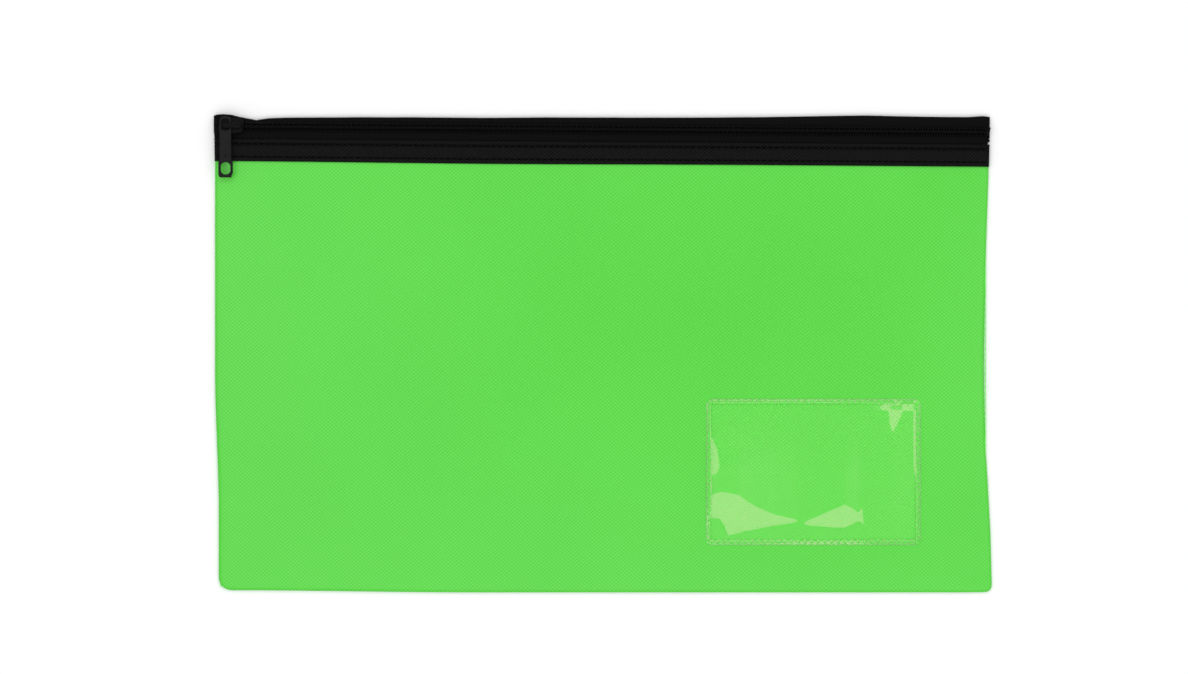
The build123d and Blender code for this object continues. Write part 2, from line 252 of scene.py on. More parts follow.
def thicken(obj, thickness, offset=-1.0):
    """Gives a sheet its thickness, in millimetres, below its face."""
    solidify = obj.modifiers.new("thickness", "SOLIDIFY")
    solidify.thickness = thickness * MM
    solidify.offset = offset
    solidify.use_even_offset = False
    return finished(obj)


# Materials.


class Tree:
    """A short way to build one material's nodes."""

    def __init__(self, name):
        self.material = bpy.data.materials.new(name)
        self.material.use_nodes = True
        self.nodes = self.material.node_tree.nodes
        self.links = self.material.node_tree.links
        self.nodes.clear()
        self.output = self.nodes.new("ShaderNodeOutputMaterial")

    def add(self, kind, settings=None, **inputs):
        """One node. inputs are its sockets by name, with _ for a space, as values or as other sockets."""
        node = self.nodes.new(kind)
        for key, value in (settings or {}).items():
            setattr(node, key, value)
        for key, value in inputs.items():
            self.put(node.inputs[key.replace("_", " ")], value)
        return node

    def put(self, socket, value):
        if isinstance(value, bpy.types.NodeSocket):
            self.links.new(value, socket)
        else:
            socket.default_value = value

    def math(self, operation, a, b=0.0):
        node = self.nodes.new("ShaderNodeMath")
        node.operation = operation
        self.put(node.inputs[0], a)
        self.put(node.inputs[1], b)
        return node.outputs[0]

    def place(self):
        """The three coordinates of a point in the object's own frame, in metres."""
        if not hasattr(self, "_place"):
            coordinates = self.add("ShaderNodeTexCoord").outputs["Object"]
            split = self.add("ShaderNodeSeparateXYZ", Vector=coordinates)
            self._place = (coordinates, split.outputs)
        return self._place

    def noise(self, scale, detail=2.0, roughness=0.5):
        coordinates, _ = self.place()
        return self.add(
            "ShaderNodeTexNoise", Vector=coordinates, Scale=scale, Detail=detail, Roughness=roughness
        ).outputs["Fac"]

    def wave(self, axis, pitch, phase=0.0):
        """A sine along one axis, with one full turn per pitch millimetres."""
        _, parts = self.place()
        turn = self.math("MULTIPLY", parts[axis], 2 * math.pi / (pitch * MM))
        return self.math("SINE", self.math("ADD", turn, phase))

    def ramp(self, factor, dark, light, low=0.0, high=1.0):
        node = self.nodes.new("ShaderNodeValToRGB")
        node.color_ramp.elements[0].position = low
        node.color_ramp.elements[1].position = high
        node.color_ramp.elements[0].color = (*dark, 1)
        node.color_ramp.elements[1].color = (*light, 1)
        self.put(node.inputs[0], factor)
        return node.outputs[0]

    def bump(self, height, distance, strength=1.0, under=None):
        node = self.add("ShaderNodeBump", Height=height, Strength=strength)
        node.inputs["Distance"].default_value = distance * MM
        if under is not None:
            self.links.new(under, node.inputs["Normal"])
        return node.outputs[0]

    def spread(self, factor, low, high):
        node = self.add("ShaderNodeMapRange", Value=factor)
        node.inputs["To Min"].default_value = low
        node.inputs["To Max"].default_value = high
        return node.outputs[0]

    def principled(self, **inputs):
        shader = self.add("ShaderNodeBsdfPrincipled", **inputs)
        self.links.new(shader.outputs[0], self.output.inputs[0])
        return shader


WEAVE = (1.96, 1.68)


def woven(tree):
    """The face of a plain weave, from -1 to 1: its two yarns lie a little out of square."""
    _, parts = tree.place()
    lean = 0.03
    x = tree.math("SUBTRACT", parts[0], tree.math("MULTIPLY", parts[1], lean))
    y = tree.math("ADD", parts[1], tree.math("MULTIPLY", parts[0], lean))
    turns = [tree.math("MULTIPLY", part, 2 * math.pi / (pitch * MM)) for part, pitch in zip((x, y), WEAVE)]
    return tree.math("MULTIPLY", tree.math("SINE", turns[0]), tree.math("SINE", turns[1]))


def shaded(tree, colour, factor, low, high):
    """colour, darkened to low and lightened to high as factor runs from -1 to 1."""
    level = tree.spread(tree.math("MULTIPLY", tree.math("ADD", factor, 1.0), 0.5), low, high)
    node = tree.add("ShaderNodeVectorMath", {"operation": "SCALE"}, Scale=level)
    tree.links.new(colour, node.inputs[0])
    return node.outputs[0]


def inside_film(tree, inset):
    """1 within the card window's outline, drawn in by inset millimetres, and 0 outside it."""
    _, parts = tree.place()
    gaps = []
    for axis in (0, 1):
        offset = tree.math("ABSOLUTE", tree.math("SUBTRACT", parts[axis], film_middle[axis] * MM))
        gaps.append(tree.math("SUBTRACT", FILM_HALF[axis] * MM, offset))
    return tree.math("GREATER_THAN", tree.math("MINIMUM", *gaps), inset * MM)


def coated_cloth(name, painted_window_light):
    """Bright green plain weave under a thin satin coating. Under the card window its colour is lightened by
    the given factor: painted light that stands in for the brightening the film gives.
    """
    tree = Tree(name)
    weave = woven(tree)
    clouds = tree.noise(9.0, 3.0)
    fine = tree.noise(900.0, 2.0)
    tone = tree.math("ADD", tree.math("MULTIPLY", clouds, 0.7), tree.math("MULTIPLY", fine, 0.3))
    base = tree.ramp(tone, (0.072, 0.6, 0.031), (0.084, 0.64, 0.04), 0.3, 0.7)
    # Painted light: inside the card window's outline the cloth's colour is raised by this factor.
    shade = tree.spread(inside_film(tree, FILM_RIM), 1.0, painted_window_light)
    lit = tree.add("ShaderNodeVectorMath", {"operation": "SCALE"}, Scale=shade)
    tree.links.new(shaded(tree, base, weave, 0.87, 1.13), lit.inputs[0])
    tree.principled(
        Base_Color=lit.outputs[0],
        Roughness=tree.spread(fine, 0.36, 0.46),
        Normal=tree.bump(weave, 0.03, 0.7, tree.bump(tree.noise(120.0, 2.0), 0.25, 0.2)),
        Specular_IOR_Level=0.5,
    )
    return tree.material


def beside_row(tree, v, width):
    """0 on a line along the chain at v, rising to 1 at width millimetres from it."""
    _, parts = tree.place()
    across = tree.math("ADD", parts[1], tree.math("MULTIPLY", parts[0], -ALONG[1] / ALONG[0]))
    offset = tree.math("ABSOLUTE", tree.math("SUBTRACT", across, (chain_y(0) + v) * MM))
    return tree.math("MINIMUM", tree.math("DIVIDE", offset, width * MM), 1.0)


def black_cloth():
    """The same weave in black, with painted shade along its two stitch rows, where the grooves there lie in
    shade.
    """
    tree = Tree("coated_black_cloth")
    # Painted shade: the colour falls to half on the two stitch rows, as if the grooves there were in shade.
    painted_row_shade = tree.math("MULTIPLY", beside_row(tree, -8.4, 1.4), beside_row(tree, -14.4, 0.8))
    weave = woven(tree)
    fine = tree.noise(900.0, 2.0)
    base = tree.ramp(fine, (0.0045, 0.0045, 0.0045), (0.0065, 0.0065, 0.0065), 0.3, 0.7)
    drawn = tree.add("ShaderNodeVectorMath", {"operation": "SCALE"}, Scale=tree.spread(painted_row_shade, 0.5, 1.0))
    tree.links.new(shaded(tree, base, weave, 0.2, 1.8), drawn.inputs[0])
    tree.principled(
        Base_Color=drawn.outputs[0],
        Roughness=0.6,
        Normal=tree.bump(weave, 0.06, 0.8),
        Specular_IOR_Level=0.04,
    )
    return tree.material


def tape_weave():
    """Black woven zip tape: fine ribs along the zip."""
    tree = Tree("black_tape")
    ribs = tree.math("MULTIPLY", tree.wave(0, 0.7), tree.wave(1, 0.9))
    fine = tree.noise(1500.0, 2.0)
    base = tree.ramp(fine, (0.003, 0.003, 0.003), (0.0045, 0.0045, 0.0045), 0.2, 0.9)
    tree.principled(
        Base_Color=shaded(tree, base, ribs, 0.75, 1.25),
        Roughness=0.7,
        Normal=tree.bump(ribs, 0.03, 0.8),
        Specular_IOR_Level=0.035,
    )
    return tree.material


def thread(name, dark, light, gloss):
    """Twisted polyester thread."""
    tree = Tree(name)
    across = tree.math("MULTIPLY", tree.wave(1, 0.5), 2.0)
    twist = tree.math("SINE", tree.math("ADD", tree.wave(0, 0.5), across))
    base = tree.ramp(twist, dark, light)
    normal = tree.bump(twist, 0.03, 0.6)
    tree.principled(Base_Color=base, Roughness=0.5, Normal=normal, Specular_IOR_Level=gloss)
    return tree.material


def coil_nylon():
    """Black nylon filament."""
    tree = Tree("black_nylon")
    fine = tree.noise(600.0, 2.0)
    base = tree.ramp(fine, (0.002, 0.002, 0.002), (0.004, 0.004, 0.004))
    tree.principled(Base_Color=base, Roughness=tree.spread(fine, 0.32, 0.42), Specular_IOR_Level=0.09)
    return tree.material


def filler_cord():
    """The twisted yarn inside each coil."""
    tree = Tree("filler_cord")
    twist = tree.math("SINE", tree.math("ADD", tree.wave(0, 1.1), tree.wave(1, 1.1)))
    base = tree.ramp(twist, (0.002, 0.002, 0.002), (0.004, 0.004, 0.004))
    normal = tree.bump(twist, 0.08, 0.8)
    tree.principled(Base_Color=base, Roughness=0.85, Normal=normal, Specular_IOR_Level=0.05)
    return tree.material


def painted_zinc(name, gloss):
    """Black lacquer over die-cast zinc, with faint casting texture and soft wear."""
    tree = Tree(name)
    fine = tree.noise(1100.0, 3.0)
    scuffs = tree.noise(260.0, 5.0, 0.7)
    base = tree.ramp(scuffs, (0.003, 0.003, 0.003), (0.007, 0.007, 0.007), 0.35, 0.75)
    tree.principled(
        Base_Color=base,
        Roughness=tree.spread(scuffs, 0.3, 0.48),
        Normal=tree.bump(fine, 0.02, 0.5),
        Specular_IOR_Level=gloss,
    )
    return tree.material


def clear_film():
    """Thin clear film: what is behind it shows through, and its face is glossy."""
    tree = Tree("clear_film")
    normal = tree.bump(tree.noise(60.0, 1.0), 0.05, 0.2)
    clear = tree.add("ShaderNodeBsdfTransparent")
    clear.inputs[0].default_value = (0.99, 1.0, 0.99, 1)
    gloss = tree.add("ShaderNodeBsdfGlossy", Roughness=0.045, Normal=normal)
    gloss.inputs["Color"].default_value = (0.88, 0.2, 0.57, 1)
    haze = tree.add("ShaderNodeBsdfDiffuse")
    haze.inputs[0].default_value = (0.42, 1.0, 0.32, 1)
    grazing = tree.add("ShaderNodeLayerWeight", Blend=0.5).outputs["Facing"]
    shine = tree.math("ADD", tree.math("MULTIPLY", tree.math("POWER", grazing, 5.0), 0.35), FILM_SHINE)
    body = tree.add("ShaderNodeMixShader", Fac=tree.spread(inside_film(tree, FILM_HEM), 0.22, 0.05))
    tree.links.new(clear.outputs[0], body.inputs[1])
    tree.links.new(haze.outputs[0], body.inputs[2])
    whole = tree.add("ShaderNodeMixShader", Fac=shine)
    tree.links.new(body.outputs[0], whole.inputs[1])
    tree.links.new(gloss.outputs[0], whole.inputs[2])
    tree.links.new(whole.outputs[0], tree.output.inputs[0])
    return tree.material


FILM_RIM = 0.6
FILM_HEM = 2.0
FILM_SHINE = 0.055
film_middle = (film_low + film_high) / 2
FILM_HALF = (film_high - film_low) / 2

# The front cloth carries painted light under the card window, 1.33 times lighter there; the back cloth has
# none.
front_green = coated_cloth("front_green_cloth", 1.33)
back_green = coated_cloth("back_green_cloth", 1.0)
facing_cloth = black_cloth()
black_tape = tape_weave()
thread_black = thread("black_thread", (0.0005, 0.0005, 0.0005), (0.002, 0.002, 0.002), 0.008)
thread_green = thread("green_thread", (0.12, 0.82, 0.07), (0.2, 0.96, 0.13), 0.15)
nylon = coil_nylon()
slider_lacquer = painted_zinc("slider_lacquer", 0.045)
tab_lacquer = painted_zinc("tab_lacquer", 0.115)
film_clear = clear_film()
cord_yarn = filler_cord()


# The two cloth panels.

CLOTH_SLACK = 0.0045
CLOTH_FRAMES = 16
CLOTH_PRESSURE = 4
DOME = 3.4
PUCKER = 0.22
PUCKER_SIZE = 9


def simulate(points, pinned, cut_slack, frames):
    """Lets a sheet of cloth puff up over its pinned points, and gives back where its points come to rest."""
    rows, columns = points.shape[:2]
    sheet = grid_object("simulated_sheet", points)
    group = sheet.vertex_groups.new(name="sewn")
    group.add([int(i) for i in np.flatnonzero(pinned.ravel())], 1.0, "REPLACE")
    sheet.shape_key_add(name="as_sewn")
    cut = sheet.shape_key_add(name="as_cut")
    flat = points.reshape(-1, 3).copy()
    flat[:, :2] *= 1 + cut_slack
    cut.data.foreach_set("co", (flat * MM).ravel())
    cut.value = 0
    modifier = sheet.modifiers.new("cloth", "CLOTH")
    modifier.point_cache.frame_start = 1
    modifier.point_cache.frame_end = frames
    cloth = modifier.settings
    cloth.vertex_group_mass = "sewn"
    cloth.rest_shape_key = cut
    cloth.quality = 5
    cloth.mass = 0.3
    cloth.tension_stiffness = 15
    cloth.compression_stiffness = 15
    cloth.shear_stiffness = 8
    cloth.bending_stiffness = 0.5
    cloth.air_damping = 2
    cloth.use_pressure = True
    cloth.uniform_pressure_force = CLOTH_PRESSURE
    cloth.effector_weights.gravity = 0
    for number in range(1, frames + 1):
        bpy.context.scene.frame_set(number)
    evaluated = sheet.evaluated_get(bpy.context.evaluated_depsgraph_get())
    settled = np.zeros(rows * columns * 3)
    evaluated.data.vertices.foreach_get("co", settled)
    bpy.context.scene.frame_set(1)
    bpy.data.objects.remove(sheet)
    return settled.reshape(rows, columns, 3) / MM


def front_cloth():
    """The front panel: puffed by simulation inside its seams, then rounded over at the seams."""
    x, y, depth = panel_plan(PANEL_LAP)
    above_tape_edge = y - (chain_y(x) + TAPE_EDGE)
    band = smooth(above_tape_edge, -8, 0)
    edge_z = SEAM_FRONT_Z + (TAPE_BOTTOM - 0.05 - SEAM_FRONT_Z) * band
    across = (x - left_edge(y)) / (right_edge(y) - left_edge(y))
    up = np.clip((y - BOTTOM) / (chain_y(x) + TAPE_EDGE - BOTTOM), 0, 1)
    puff = DOME * (np.sin(math.pi * np.clip(across, 0, 1)) * np.sin(math.pi * up)) ** 0.6
    pucker = PUCKER * waves(x, y, PUCKER_SIZE, 1) * (1 - band)
    start = np.stack([x, y, edge_z + np.nan_to_num(puff) + pucker], -1)
    rim = len(RIM_STEPS)
    inner = start[rim:, rim:-rim]
    pinned = np.zeros(inner.shape[:2], bool)
    pinned[0, :] = True
    pinned[:, 0] = True
    pinned[:, -1] = True
    pinned |= above_tape_edge[rim:, rim:-rim] > -1
    settled = simulate(inner, pinned, CLOTH_SLACK, CLOTH_FRAMES)
    z = np.zeros_like(x)
    z[rim:, rim:-rim] = settled[..., 2]
    z[rim:, :rim] = settled[:, :1, 2]
    z[rim:, -rim:] = settled[:, -1:, 2]
    z[:rim, :] = z[rim, :]
    z = SEAM_Z + (z - SEAM_Z) * rim_shape(depth)
    shift = np.zeros(x.shape + (2,))
    shift[rim:, rim:-rim] = settled[..., :2] - inner[..., :2]
    points = np.stack([x + shift[..., 0], y + shift[..., 1], z], -1)
    surface = grid_object("front_cloth", points, front_green)
    tree = BVHTree.FromPolygons(
        [tuple(p) for p in points.reshape(-1, 3)], grid_faces(*points.shape[:2])
    )
    return thicken(surface, CLOTH), tree


def back_cloth():
    """The back panel lies flat, turns up at the seams, and steps up over the zip tape's back leg."""
    x, y, depth = panel_plan(BACK_LAP)
    v = y - chain_y(x)
    step = smooth(v, -9.5, -5.2) * (back_tape_low[2] + CLOTH)
    resting = 0.06 + step + 0.12 * (1 + waves(x, y, 22, 2)) * (1 - smooth(depth, 0.4, 2.0) * 0.5)
    z = SEAM_Z + (resting - SEAM_Z) * rim_shape(depth)
    points = np.stack([x, y, z], -1)
    return thicken(grid_object("back_cloth", points, back_green, flip=True), CLOTH)


cloth_front, cloth_surface = front_cloth()
cloth_back = back_cloth()


def cloth_height(x, y):
    """The front cloth's height under each point, in millimetres."""
    x, y = np.broadcast_arrays(np.asarray(x, float), np.asarray(y, float))
    heights = np.zeros(x.size)
    for i, (a, b) in enumerate(zip(x.ravel(), y.ravel())):
        hit = cloth_surface.ray_cast(Vector((a, b, 50)), Vector((0, 0, -1)))[0]
        heights[i] = hit.z if hit is not None else SEAM_Z
    return heights.reshape(x.shape)


# The zip tapes.


TAPE_TURN = 1.3
TAPE_GAP = 0.05
TAPE_HIDDEN = 4
STITCH = 3.0
STITCH_SEEN = 2.4
FACING_CLOTH = 0.3
FACING_FOOT = 1.25


# How far the cut ends of the zip band reach past the side seams at each v.
LEFT_CUT = ((-16, 0.1), (-6, 0.25), (0, 0.6), (3, 0.7), (6, 0.4))
RIGHT_CUT = (
    (-16, 0.35),
    (-6.4, 0.35),
    (-5.7, -0.5),
    (-5.2, -0.5),
    (-4.4, 0.5),
    (-3.6, 0.4),
    (-2.6, -0.9),
    (-1.9, -0.8),
    (-1.6, 0.2),
    (1.9, 0.3),
    (2.6, -0.6),
    (3.4, 0.1),
    (4.6, 0.45),
    (7, 0.4),
)


def to_the_edge(s, v):
    """u for s from -1 to 1 across the bag, from one cut end of the zip band to the other."""
    y = chain_y(0) + v
    middle = CHAIN_ORIGIN[0] / MM
    low = left_edge(y) - middle - along_line(LEFT_CUT, v)
    high = right_edge(y) - middle + along_line(RIGHT_CUT, v)
    return np.where(s < 0, -s * low, s * high)


def end_turn(s):
    """1 inside the bag, falling round to 0 at its sewn edges."""
    t = np.clip((1 - np.abs(s)) * ZIP_END / TAPE_TURN, 0, 1)
    return np.sqrt(1 - (1 - t) ** 2)


def crosswise():
    """Places across the bag, close together at the sewn edges."""
    rim = np.array([0, 0.1, 0.3, 0.6, 1.0]) / ZIP_END
    inner = np.linspace(-1 + TAPE_TURN / ZIP_END, 1 - TAPE_TURN / ZIP_END, 600)
    return np.concatenate([-1 + rim, inner, 1 - rim[::-1]])


def turned_down(z, s, foot=1.3):
    return foot + (z - foot) * end_turn(s)


def dip(v, row, wide=0.45):
    return np.exp(-(((v - row) / wide) ** 2))


def tape_height(u, v):
    """The top of the front tape between the chain and the facing strip."""
    ripple = 0.05 * np.cos(2 * math.pi * u / COIL_PITCH) * dip(v, -HALF_CHAIN, 0.8)
    return TAPE_TOP - 0.04 + ripple + 0.07 * waves(u, v, 14, 3) - 0.25 * smooth(-v, 3.6, 5.4)


def front_tape():
    s, v = np.meshgrid(crosswise(), np.linspace(TAPE_EDGE + TAPE_HIDDEN, -TAPE_GAP, 60))
    u = to_the_edge(s, v)
    z = np.where(v < FACING_FOLD - 0.4, TAPE_TOP - 0.3, tape_height(u, v))
    sheet = grid_object("front_zip_tape", zip_point(u, v, turned_down(z, s)), black_tape)
    return thicken(sheet, CLOTH)


OUTER_ROW = zip_extent("facing_outer_stitching")
INNER_ROW = zip_extent("facing_inner_stitching")
FACING_MARGIN = 0.3


def row_middle(extent):
    return (extent[0][1] + extent[1][1]) / 2


ROW_GAP = row_middle(INNER_ROW) - row_middle(OUTER_ROW)


def sag(u):
    """How far the facing strip hangs below its straight line."""
    return 0.25 + 0.4 * np.exp(-(((u + 50) / 70) ** 2))


def facing_height(u, v):
    """The top of the facing strip: a soft fold along its upper edge, and a groove along each stitch row."""
    fold = 0.5 * smooth(FACING_FOLD - v, -0.1, 0.5) * (1 - 0.75 * smooth(FACING_FOLD - v, 1.0, 2.0))
    grooves = sum(dip(v, row_middle(row), 0.55) for row in (INNER_ROW, OUTER_ROW))
    pull = 0.75 + 0.25 * np.cos(2 * math.pi * u / STITCH)
    puff = 0.2 * np.sin(math.pi * np.clip((v - row_middle(OUTER_ROW)) / ROW_GAP, 0, 1))
    edge = 0.12 * smooth(FACING_EDGE - v, -0.5, 0)
    z = FACING_TOP - 0.1 + fold + puff - 0.3 * grooves * pull - edge
    return z + 0.07 * waves(u, v, 13, 4)


def front_facing():
    """The black strip over the joint between the tape and the panel, folded under along its upper edge."""
    rows = np.linspace(FACING_EDGE - FACING_MARGIN, FACING_FOLD - 0.3, 52)
    s, v = np.meshgrid(crosswise(), rows)
    u = to_the_edge(s, v)
    wander = -sag(u) * smooth(-v, 5.5, 8)
    top = facing_height(u, v)
    points = [zip_point(u, v + wander, turned_down(top, s, FACING_FOOT))]
    radius = (top[-1] - TAPE_TOP + 0.05) / 2
    for angle in np.linspace(0, math.pi, 7)[1:]:
        round_v = rows[-1] + wander[-1] + radius * math.sin(angle)
        round_z = top[-1] - radius * (1 - math.cos(angle))
        points.append(zip_point(u[-1], round_v, turned_down(round_z, s[-1], FACING_FOOT))[None])
    return thicken(grid_object("front_facing_strip", np.concatenate(points), facing_cloth), FACING_CLOTH)


# How far the fold at the bag's top edge stands above the chain: high over the slider, nipped in beside it.
FOLD_LINE = (
    (-182, 4.6),
    (-180.3, 5.3),
    (-177, 5.6),
    (-173.5, 5.35),
    (-170, 4.45),
    (-165.5, 3.6),
    (-163, 3.2),
    (-161.7, 2.85),
    (-160.2, 3.15),
    (-156, 3.8),
    (-148, 4.15),
    (-115, 4.6),
    (-85, 4.8),
    (-55, 4.8),
    (-25, 5.2),
    (30, 5.5),
    (70, 6.0),
    (95, 6.6),
    (122, 7.2),
    (150, 6.8),
    (170, 6.8),
    (177, 7.3),
    (182, 6.8),
)


def back_tape():
    """From the chain up over the folded top edge and down the back of the bag."""
    s = crosswise()
    u = to_the_edge(s, 4.0)
    fold = along_line(FOLD_LINE, u) + 0.06 * waves(u, 0 * u, 12, 5)
    radius = (TAPE_TOP - back_tape_low[2]) / 2
    centre_z = back_tape_low[2] + radius
    start = TAPE_GAP
    v_rows = []
    z_rows = []
    for t in np.linspace(0, 1, 9):
        v_rows.append(start + t * (fold - radius - start))
        z_rows.append(np.full_like(u, TAPE_TOP))
    for angle in np.linspace(0, math.pi, 15)[1:-1]:
        v_rows.append(fold - radius + radius * math.sin(angle))
        z_rows.append(np.full_like(u, centre_z + radius * math.cos(angle)))
    for t in np.linspace(0, 1, 12):
        v_rows.append(fold - radius + t * (back_tape_low[1] - fold + radius))
        z_rows.append(np.full_like(u, back_tape_low[2]))
    v = np.array(v_rows)
    z = np.array(z_rows)
    uu = np.broadcast_to(u, v.shape)
    ss = np.broadcast_to(s, v.shape)
    above = smooth(z, back_tape_low[2], TAPE_TOP)
    ripple = 0.04 * np.cos(2 * math.pi * uu / COIL_PITCH) * smooth(v, 1.2, 2.5) * above
    z = z + ripple + 0.08 * (waves(uu, v, 9, 6) - 0.6) * above
    return thicken(grid_object("back_zip_tape", zip_point(uu, v, turned_down(z, ss)), black_tape), CLOTH)


COIL_PITCH = 1.22
tape_front = front_tape()
facing_front = front_facing()
tape_back = back_tape()


# Tubes: the coils and every stitch.


def tube(name, path, radius, sides, material):
    """A round tube along a path of points in millimetres."""
    path = np.asarray(path, float)
    tangent = np.gradient(path, axis=0)
    tangent /= np.linalg.norm(tangent, axis=1, keepdims=True)
    side = np.cross(tangent, np.array([1.0, 0.013, 0.007]))
    side /= np.linalg.norm(side, axis=1, keepdims=True)
    up = np.cross(tangent, side)
    angles = np.linspace(0, 2 * math.pi, sides, endpoint=False)
    ring = side[:, None] * np.cos(angles)[None, :, None] + up[:, None] * np.sin(angles)[None, :, None]
    points = path[:, None] + radius * ring
    count = len(path)
    index = np.arange(count * sides).reshape(count, sides)
    after = np.roll(index, -1, axis=1)
    faces = np.stack([index[:-1], after[:-1], after[1:], index[1:]], -1).reshape(-1, 4).tolist()
    faces += [index[0][::-1].tolist(), index[-1].tolist()]
    return mesh_object(name, points, faces, material)


FILAMENT = 0.29
COIL_STITCH = 1.05
HEAD_REACH = 0.55
CHAIN_SHIFT = -0.25


def coil(side):
    """One coil: a flattened helix whose heads reach past the chain's middle, between the other coil's."""
    turns = int(2 * ZIP_END / COIL_PITCH)
    per_turn = 14
    angle = np.linspace(0, 2 * math.pi * turns, turns * per_turn + 1)
    half_width = (HALF_CHAIN + HEAD_REACH) / 2 - FILAMENT
    middle = (HALF_CHAIN - HEAD_REACH) / 2
    half_height = (COIL_TOP - TAPE_TOP) / 2 - FILAMENT
    cosine = np.cos(angle)
    sine = np.sin(angle)
    v = middle + half_width * np.sign(cosine) * np.abs(cosine) ** 0.7
    z = (COIL_TOP + TAPE_TOP) / 2 + half_height * np.sign(sine) * np.abs(sine) ** 0.6
    z -= 0.42 * dip(v, COIL_STITCH, 0.36) * (sine > 0)
    z -= 0.15 * smooth(v, COIL_STITCH, HALF_CHAIN) * (sine > 0)
    u = -turns * COIL_PITCH / 2 + angle * COIL_PITCH / (2 * math.pi) + (COIL_PITCH / 2 if side > 0 else 0)
    u = u + CHAIN_STUB
    name = "back_zip_coil" if side > 0 else "front_zip_coil"
    return tube(name, zip_point(u, side * v + CHAIN_SHIFT, z), FILAMENT, 7, nylon)


CHAIN_STUB = 0.3
coil_front = coil(-1)
coil_back = coil(1)


def stitches(name, centres, directions, length, radius, material, up=1.0):
    """Separate stitches, each a short thread that rises out of the cloth, runs along it and dives back in."""
    centres = np.asarray(centres, float)
    directions = np.asarray(directions, float)
    directions = directions / np.linalg.norm(directions, axis=1, keepdims=True)
    steps = np.linspace(-1, 1, 9)
    rise = radius * (0.9 * (1 - np.abs(steps) ** 4) - 1.1 * np.abs(steps) ** 4)
    normal = np.array([0, 0, up])
    sideways = np.cross(directions, normal)
    sides = 7
    angles = np.linspace(0, 2 * math.pi, sides, endpoint=False)
    thin = radius * np.sqrt(np.clip(1 - steps**6 * 0.6, 0.2, 1))
    path = centres[:, None] + directions[:, None] * (steps * length / 2)[None, :, None]
    path = path + normal * rise[None, :, None]
    ring = sideways[:, None, None] * np.cos(angles)[None, None, :, None]
    ring = ring + normal * np.sin(angles)[None, None, :, None]
    points = path[:, :, None] + ring * thin[None, :, None, None]
    count = len(centres)
    index = np.arange(count * len(steps) * sides).reshape(count, len(steps), sides)
    after = np.roll(index, -1, axis=2)
    faces = np.stack([index[:, :-1], index[:, 1:], after[:, 1:], after[:, :-1]], -1).reshape(-1, 4).tolist()
    faces += index[:, 0].tolist()
    faces += index[:, -1, ::-1].tolist()
    return mesh_object(name, points, faces, material)


def row_places(length, pitch):
    count = int(length / pitch)
    return (np.arange(count) - (count - 1) / 2) * pitch


def zip_row(name, v, height, length, radius, pitch=STITCH, up=1.0, hang=0.0):
    """One row of stitches along the chain, on the face that height gives, sagging by hang times sag."""
    u = row_places(2 * ZIP_END - 2, pitch)
    centres = zip_point(u, v - hang * sag(u), height(u, np.full_like(u, v)))
    directions = np.broadcast_to(ALONG, centres.shape)
    return stitches(name, centres, directions, length, radius, thread_black, up=up)


facing_rows = [
    zip_row(f"facing_{name}_row", row_middle(extent), facing_height, STITCH_SEEN, 0.17, hang=1.0)
    for name, extent in (("outer", OUTER_ROW), ("inner", INNER_ROW))
]


def back_face(u, v):
    return np.full_like(u, back_tape_low[2] + 0.05)


back_rows = [
    zip_row(f"back_tape_{name}_row", row_middle(extent), back_face, STITCH_SEEN, 0.16, up=-1.0)
    for name, extent in (
        ("outer", zip_extent("back_tape_outer_stitching")),
        ("inner", zip_extent("back_tape_inner_stitching")),
    )
]


def coil_groove(u, v):
    return np.full_like(u, COIL_TOP - 0.5)


CHAIN_PITCH = 2 * COIL_PITCH
coil_rows = [
    zip_row(name, side * COIL_STITCH + CHAIN_SHIFT, coil_groove, CHAIN_PITCH - 0.2, 0.25, CHAIN_PITCH)
    for name, side in (("front_coil_row", -1), ("back_coil_row", 1))
]


# The card window.

FILM_CORNER = 3.0
FILM_GAP = 0.3
FILM_THICK = 0.2
ZIGZAG_PITCH = 3.1
ZIGZAG_INSET = (0.6, 2.6)

# The film's own shape, as rows of (place along a side, foot, top, height): it climbs from foot to top.
BOTTOM_PLEAT = (
    (-49, -21, -11.6, 1.5),
    (-44, -20.5, -9.9, 1.65),
    (-41.5, -23.5, -9.7, 1.8),
    (-39.5, -28.5, -10, 1.9),
    (-35, -27.5, -11, 1.75),
    (-28, -26, -16, 1.2),
    (-18, -24.2, -20.4, 0.55),
    (-8, -23.2, -22.3, 0.06),
    (-6, -30, -14, 0.02),
    (-4, -24.4, -23.3, 0.06),
    (2.6, -24.8, -20.5, 0.46),
    (9.6, -25.4, -17.3, 0.84),
    (14.6, -25.6, -15.1, 0.92),
    (18, -24, -17, 0.7),
    (20.8, -22.2, -19.2, 0.48),
    (24.5, -27, -13, 0.26),
    (30, -31, -8, 0.1),
    (46, -31, -8, 0),
)
LEFT_SWELL = (
    (-22, -49.4, -43.8, 0.3),
    (-8, -49.4, -43.8, 0.42),
    (-1, -49.4, -43.8, 0.5),
    (4, -49.4, -43.8, 0.74),
    (7, -49.4, -44, 0.78),
    (11, -49.4, -44.7, 0.7),
    (14.8, -49.4, -46.6, 0.42),
    (20, -49, -40, 0.15),
    (32, -49, -38, 0),
)
CORNER_DROP = (
    (16, 36.5, 37, 0),
    (19, 36.4, 37.2, 0.2),
    (22.5, 34.4, 38.9, 0.7),
    (27, 33.6, 40.9, 1.1),
    (28.7, 33.8, 41.3, 1.2),
    (34, 34, 41, 1.2),
)
# Soft folds, as (from a, from b, to a, to b, width, height).
FOLDS = ((23.5, 20, 15, -3, 5.5, 0.13), (42, -1, 31, -18, 5, 0.12))


def climb(x, low, high, height, bend=0.5):
    """0 below low, height above high, and a straight slope between with rounded ends."""
    width = np.maximum(high - low, 1.2)
    return height * (np.hypot(x - low, bend) - np.hypot(x - low - width, bend) + width) / (2 * width)


